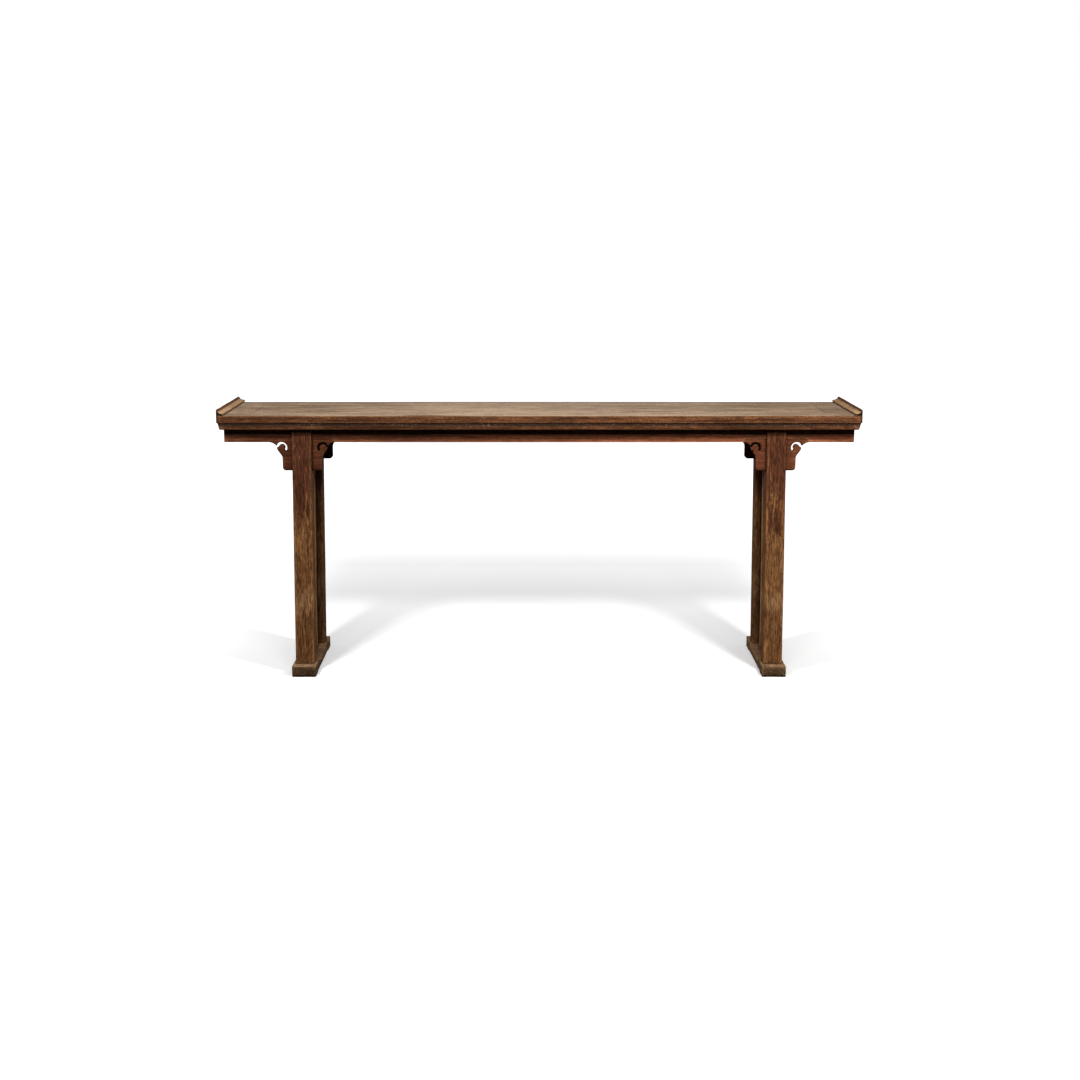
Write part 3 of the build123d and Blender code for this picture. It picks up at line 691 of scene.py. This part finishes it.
def wear_tree():
    """Builds the tree that hollows a piece's faces and wears its arrises back."""
    tree = bpy.data.node_groups.new("hand_wear", "GeometryNodeTree")
    for label, kind in (("Piece", "NodeSocketGeometry"), ("Hollow depth", "NodeSocketFloat"),
                        ("Hollow size", "NodeSocketFloat"), ("Arris depth", "NodeSocketFloat"),
                        ("Arris size", "NodeSocketFloat"), ("Seed", "NodeSocketFloat"),
                        ("Finish", "NodeSocketMaterial")):
        tree.interface.new_socket(label, in_out="INPUT", socket_type=kind)
    tree.interface.new_socket("Piece", in_out="OUTPUT", socket_type="NodeSocketGeometry")
    given = add(tree, "NodeGroupInput").outputs

    def patches(size, shift):
        scale = add(tree, "ShaderNodeMath", {0: 1.0, 1: size}, operation="DIVIDE").outputs[0]
        seed = add(tree, "ShaderNodeMath", {0: given["Seed"], 1: shift}, operation="ADD").outputs[0]
        return add(tree, "ShaderNodeTexNoise", {"W": seed, "Scale": scale, "Detail": 2.0},
                   noise_dimensions="4D").outputs[0]

    hollow = add(tree, "ShaderNodeMath", {
        0: patches(given["Hollow size"], 0.0), 1: given["Hollow depth"]}, operation="MULTIPLY").outputs[0]
    # Edges that turn by half a radian or more are arrises, and they are worn here and there.
    turn = add(tree, "GeometryNodeInputMeshEdgeAngle").outputs["Unsigned Angle"]
    arris = add(tree, "ShaderNodeMapRange", {"Value": turn, "From Min": 0.05, "From Max": 0.5}).outputs[0]
    bite = add(tree, "ShaderNodeMapRange", {
        "Value": patches(given["Arris size"], 7.0), "From Min": 0.35, "From Max": 0.75}).outputs[0]
    bite = add(tree, "ShaderNodeMath", {0: bite, 1: given["Arris depth"]}, operation="MULTIPLY").outputs[0]
    worn = add(tree, "ShaderNodeMath", {0: arris, 1: bite, 2: hollow}, operation="MULTIPLY_ADD").outputs[0]
    inward = add(tree, "ShaderNodeMath", {0: worn, 1: -1.0}, operation="MULTIPLY").outputs[0]
    normal = add(tree, "GeometryNodeInputNormal").outputs[0]
    shift = add(tree, "ShaderNodeVectorMath", {0: normal, "Scale": inward}, operation="SCALE").outputs[0]
    moved = add(tree, "GeometryNodeSetPosition", {"Geometry": given["Piece"], "Offset": shift}).outputs[0]
    whole = add(tree, "GeometryNodeRealizeInstances", {0: moved}).outputs[0]
    coated = add(tree, "GeometryNodeSetMaterial", {"Geometry": whole, "Material": given["Finish"]}).outputs[0]
    add(tree, "NodeGroupOutput", {0: coated})
    return tree


def divided_copy(node, cell):
    """Copies a CAD node's mesh, joins its loose triangles and cuts its faces into even cells."""
    form = bmesh.new()
    form.from_mesh(node.data)
    bmesh.ops.remove_doubles(form, verts=form.verts, dist=MERGE_REACH)
    bmesh.ops.dissolve_limit(form, angle_limit=FLAT_TURN, verts=form.verts, edges=form.edges)
    low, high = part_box(node.name)
    for axis in range(3):
        size = high[axis] - low[axis]
        pieces = max(1, round(size / cell))
        normal = Vector([float(axis == way) for way in range(3)])
        for cut in range(1, pieces):
            point = normal * (low[axis] + size * cut / pieces)
            bmesh.ops.bisect_plane(
                form, geom=form.verts[:] + form.edges[:] + form.faces[:], plane_co=point,
                plane_no=normal, dist=CUT_REACH)
    bmesh.ops.triangulate(form, faces=form.faces)
    mesh = bpy.data.meshes.new(node.name)
    form.to_mesh(mesh)
    form.free()
    return mesh


def age(names, finish, cell, seed, wear_share=1.0):
    """Replaces CAD nodes by worn copies that have the same shape and place."""
    wear = bpy.context.scene.altar_wear
    tree = bpy.data.node_groups.get("hand_wear") or wear_tree()
    for count, name in enumerate(names):
        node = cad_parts[name]
        rough_piece = bpy.data.objects.new("rough_" + name, divided_copy(node, cell))
        bpy.context.scene.collection.objects.link(rough_piece)
        modifier = rough_piece.modifiers.new("hand wear", "NODES")
        modifier.node_group = tree
        values = {"Hollow depth": wear.hollow_depth * wear_share, "Hollow size": wear.hollow_size,
                  "Arris depth": wear.arris_depth * wear_share, "Arris size": wear.arris_size,
                  "Seed": seed + count * SEED_STEP, "Finish": finish}
        for socket in tree.interface.items_tree:
            if socket.in_out == "INPUT" and socket.name in values:
                modifier[socket.identifier] = values[socket.name]
        bpy.context.view_layer.update()
        worn = rough_piece.evaluated_get(bpy.context.evaluated_depsgraph_get())
        mesh = bpy.data.meshes.new_from_object(worn)
        mesh.shade_smooth()
        mesh.set_sharp_from_angle(angle=SHARP_TURN)
        bpy.data.objects.remove(rough_piece)
        piece = bpy.data.objects.new("aged_" + name, mesh)
        bpy.context.scene.collection.objects.link(piece)
        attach(piece, "root")
        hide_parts(name)


class AltarTableOperator:
    """What all the operators share."""

    bl_options = {"REGISTER", "UNDO"}


class AgeTop(AltarTableOperator, bpy.types.Operator):
    """Ages the mitred frame of the top, its panel and the battens below it"""

    bl_idname = "altar_table.age_top"
    bl_label = "Age the top"

    def execute(self, context):
        hues = context.scene.altar_finish
        batten = sheltered_elm("plain elm, battens", "Y", 41.0, hues.leg_wood, hues.edge_lacquer,
                               hues.edge_lacquer, 0.2, middle=0.64)
        age(["top_front_rail", "top_back_rail"], long_rail_elm(hues),
            cell=12 * MM, seed=1.0, wear_share=0.25)
        age(["top_end_rail_left", "top_end_rail_right"], end_rail_elm(hues),
            cell=12 * MM, seed=1.0, wear_share=0.25)
        age(["top_panel"], top_panel_elm(hues), cell=16 * MM, seed=1.0, wear_share=0.1)
        age([f"top_batten_{count}" for count in range(1, 6)], batten,
            cell=20 * MM, seed=13.0)
        return {"FINISHED"}


class AgeFlanges(AltarTableOperator, bpy.types.Operator):
    """Ages the two everted flanges"""

    bl_idname = "altar_table.age_flanges"
    bl_label = "Age the flanges"

    def execute(self, context):
        flange = flange_elm(context.scene.altar_finish)
        age(["flange_left", "flange_right"], flange, cell=8 * MM, seed=17.0)
        return {"FINISHED"}


class AgeAprons(AltarTableOperator, bpy.types.Operator):
    """Ages the long and short aprons and the four cloud-head spandrels"""

    bl_idname = "altar_table.age_aprons"
    bl_label = "Age the aprons and spandrels"

    def execute(self, context):
        hues = context.scene.altar_finish
        end = sheltered_elm("lacquered elm, end aprons", "Y", 71.0, hues.apron_wood, hues.leg_lacquer,
                            hues.apron_lacquer, 0.68, contrast=0.6, shade_and_dirt=0.3)
        age(["apron_front", "apron_back"], apron_elm(hues),
            cell=14 * MM, seed=23.0, wear_share=0.3)
        age(["apron_left", "apron_right"], end, cell=14 * MM, seed=27.0, wear_share=0.3)
        age([f"spandrel_{face}_{side}" for face in ("front", "back") for side in ("left", "right")],
            spandrel_elm(hues), cell=8 * MM, seed=31.0, wear_share=0.3)
        return {"FINISHED"}


class AgeLegs(AltarTableOperator, bpy.types.Operator):
    """Ages the four legs, worn down to the wood below"""

    bl_idname = "altar_table.age_legs"
    bl_label = "Age the legs"

    def execute(self, context):
        age([f"leg_{face}_{side}" for face in ("front", "back") for side in ("left", "right")],
            leg_elm(context.scene.altar_finish), cell=12 * MM, seed=41.0)
        return {"FINISHED"}


class AgeSideFrames(AltarTableOperator, bpy.types.Operator):
    """Ages the panelled frames and the cross rails between the legs"""

    bl_idname = "altar_table.age_side_frames"
    bl_label = "Age the side frames"

    def execute(self, context):
        hues = context.scene.altar_finish
        tones = (hues.leg_wood, hues.edge_lacquer, hues.leg_lacquer)
        member = sheltered_elm("lacquered elm, cross members", "Y", 101.0, *tones, 0.66)
        panel = sheltered_elm("lacquered elm, side panels", "Z", 121.0, *tones, 0.9)
        stile = stile_elm(hues)
        for side in ("left", "right"):
            age([f"side_rail_{side}", f"side_frame_top_{side}", f"side_frame_bottom_{side}"],
                member, cell=16 * MM, seed=51.0)
            age([f"side_stile_front_{side}", f"side_stile_back_{side}"], stile,
                cell=16 * MM, seed=61.0)
            age([f"side_panel_{side}"], panel, cell=20 * MM, seed=71.0)
        return {"FINISHED"}


class AgeFeet(AltarTableOperator, bpy.types.Operator):
    """Ages the two scooped sled feet"""

    bl_idname = "altar_table.age_feet"
    bl_label = "Age the feet"

    def execute(self, context):
        foot = foot_elm(context.scene.altar_finish)
        age(["foot_left", "foot_right"], foot, cell=8 * MM, seed=81.0)
        return {"FINISHED"}


# Studio ---------------------------------------------------------------------------------------

def seen(tree):
    """Gives one for the rays that show the background: seen, mirrored or passed through."""
    rays = add(tree, "ShaderNodeLightPath").outputs
    mirrored = add(tree, "ShaderNodeMath", {
        0: rays["Is Camera Ray"], 1: rays["Is Glossy Ray"]}, operation="MAXIMUM").outputs[0]
    return add(tree, "ShaderNodeMath", {
        0: mirrored, 1: rays["Is Transmission Ray"]}, operation="MAXIMUM").outputs[0]


def floor_paint():
    # Matt paint that looks white and keeps the table's shadow. It throws little light back up.
    paint = bpy.data.materials.new("white studio floor")
    paint.use_nodes = True
    tree = paint.node_tree
    tree.nodes.clear()
    dark = add(tree, "ShaderNodeBsdfDiffuse", {"Color": colour(linear("#3A3A3A"))}).outputs[0]
    white = add(tree, "ShaderNodeBsdfDiffuse", {"Color": colour(linear("#FFFFFF"))}).outputs[0]
    place = add(tree, "ShaderNodeTexCoord").outputs["Object"]
    # Where the lamps' light falls away from a place in front of the table, a glow makes up for it.
    away = add(tree, "ShaderNodeMapping", {
        "Vector": place, "Location": LIGHT_SHIFT, "Scale": LIGHT_SPREAD}).outputs[0]
    away = add(tree, "ShaderNodeVectorMath", {0: away}, operation="LENGTH").outputs["Value"]
    away = add(tree, "ShaderNodeMath", {0: away, 1: away, 2: 1.0}, operation="MULTIPLY_ADD").outputs[0]
    lit = add(tree, "ShaderNodeMath", {0: away, 1: LIGHT_FALL}, operation="POWER").outputs[0]
    lack = add(tree, "ShaderNodeMath", {0: lit, 1: -LIGHT_STRENGTH, 2: 1.0},
               operation="MULTIPLY_ADD", use_clamp=True).outputs[0]
    sides = add(tree, "ShaderNodeSeparateXYZ", {0: place}).outputs
    out = add(tree, "ShaderNodeMath", {0: sides[0]}, operation="ABSOLUTE").outputs[0]
    beside = smooth(tree, (out, SIDE_GLOW_START, SIDE_GLOW_FULL, 0.0, SIDE_GLOW))
    lack = add(tree, "ShaderNodeMath", {0: lack, 1: beside}, operation="ADD").outputs[0]
    glow = add(tree, "ShaderNodeEmission", {"Strength": lack}).outputs[0]
    bright = add(tree, "ShaderNodeAddShader", {0: white, 1: glow}).outputs[0]
    mixed = add(tree, "ShaderNodeMixShader", {0: seen(tree), 1: dark, 2: bright}).outputs[0]
    add(tree, "ShaderNodeOutputMaterial", {"Surface": mixed})
    return paint


class SetStudio(AltarTableOperator, bpy.types.Operator):
    """Sets the pale floor, the lamps and the camera"""

    bl_idname = "altar_table.set_studio"
    bl_label = "Set the studio"

    def execute(self, context):
        studio = context.scene.altar_studio
        self.floor()
        self.room(studio.room_light)
        for label, (place, target_height, width, height) in LAMPS.items():
            self.lamp(label, place, target_height, width, height, getattr(studio, f"{label}_power"))
        view = bpy.data.cameras.new("camera")
        view.lens = studio.lens
        view.sensor_width = SENSOR_WIDTH
        view.shift_x = studio.camera_shift
        camera = bpy.data.objects.new("camera", view)
        camera.location = studio.camera_place
        camera.rotation_euler = (math.radians(90) - studio.camera_tilt, 0, 0)
        context.scene.collection.objects.link(camera)
        context.scene.camera = camera
        context.scene.view_settings.view_transform = "Standard"
        return {"FINISHED"}

    def floor(self):
        """Lays a square floor far past what the camera sees."""
        corners = [(x * FLOOR_HALF, y * FLOOR_HALF, 0) for x, y in ((-1, -1), (1, -1), (1, 1), (-1, 1))]
        mesh = bpy.data.meshes.new("floor")
        mesh.from_pydata(corners, [], [(0, 1, 2, 3)])
        mesh.materials.append(floor_paint())
        floor = bpy.data.objects.new("floor", mesh)
        bpy.context.scene.collection.objects.link(floor)

    def room(self, light_share):
        """Makes a room that looks white and lights the table softly from all round."""
        world = bpy.data.worlds.new("room")
        world.use_nodes = True
        tree = world.node_tree
        tree.nodes.clear()
        strength = add(tree, "ShaderNodeMix", {0: seen(tree), 2: light_share, 3: 1.0},
                       data_type="FLOAT").outputs[0]
        light = add(tree, "ShaderNodeBackground", {"Color": (1, 1, 1, 1), "Strength": strength}).outputs[0]
        add(tree, "ShaderNodeOutputWorld", {"Surface": light})
        bpy.context.scene.world = world

    def lamp(self, label, place, target_height, width, height, watts):
        """Hangs a soft rectangular lamp that faces a point above the middle of the floor."""
        light = bpy.data.lights.new(label, "AREA")
        light.shape = "RECTANGLE"
        light.size = width
        light.size_y = height
        light.energy = watts
        lamp = bpy.data.objects.new(label, light)
        lamp.location = place
        look = Vector((0.0, 0.0, target_height)) - Vector(place)
        lamp.rotation_euler = look.to_track_quat("-Z", "Y").to_euler()
        lamp.visible_camera = False
        bpy.context.scene.collection.objects.link(lamp)


class AltarTablePanel(bpy.types.Panel):
    """Lists the altar table's steps and settings"""

    bl_idname = "VIEW3D_PT_altar_table"
    bl_label = "Altar table"
    bl_space_type = "VIEW_3D"
    bl_region_type = "UI"
    bl_category = "Altar table"

    def draw(self, context):
        for step in STEPS:
            self.layout.operator(step.bl_idname)
        for settings in (context.scene.altar_finish, context.scene.altar_wear, context.scene.altar_studio):
            box = self.layout.box()
            for label in settings.__annotations__:
                box.prop(settings, label)


STEPS = (AgeTop, AgeFlanges, AgeAprons, AgeLegs, AgeSideFrames, AgeFeet, SetStudio)
SETTINGS = {"altar_finish": AltarTableFinish, "altar_wear": AltarTableWear, "altar_studio": AltarTableStudio}


def register():
    for kind in (*SETTINGS.values(), *STEPS, AltarTablePanel):
        bpy.utils.register_class(kind)
    for label, kind in SETTINGS.items():
        setattr(bpy.types.Scene, label, bpy.props.PointerProperty(type=kind))


def unregister():
    for label in SETTINGS:
        delattr(bpy.types.Scene, label)
    for kind in reversed((*SETTINGS.values(), *STEPS, AltarTablePanel)):
        bpy.utils.unregister_class(kind)


def main():
    register()
    for step in STEPS:
        group, name = step.bl_idname.split(".")
        getattr(getattr(bpy.ops, group), name)()


if __name__ == "__main__":
    main()
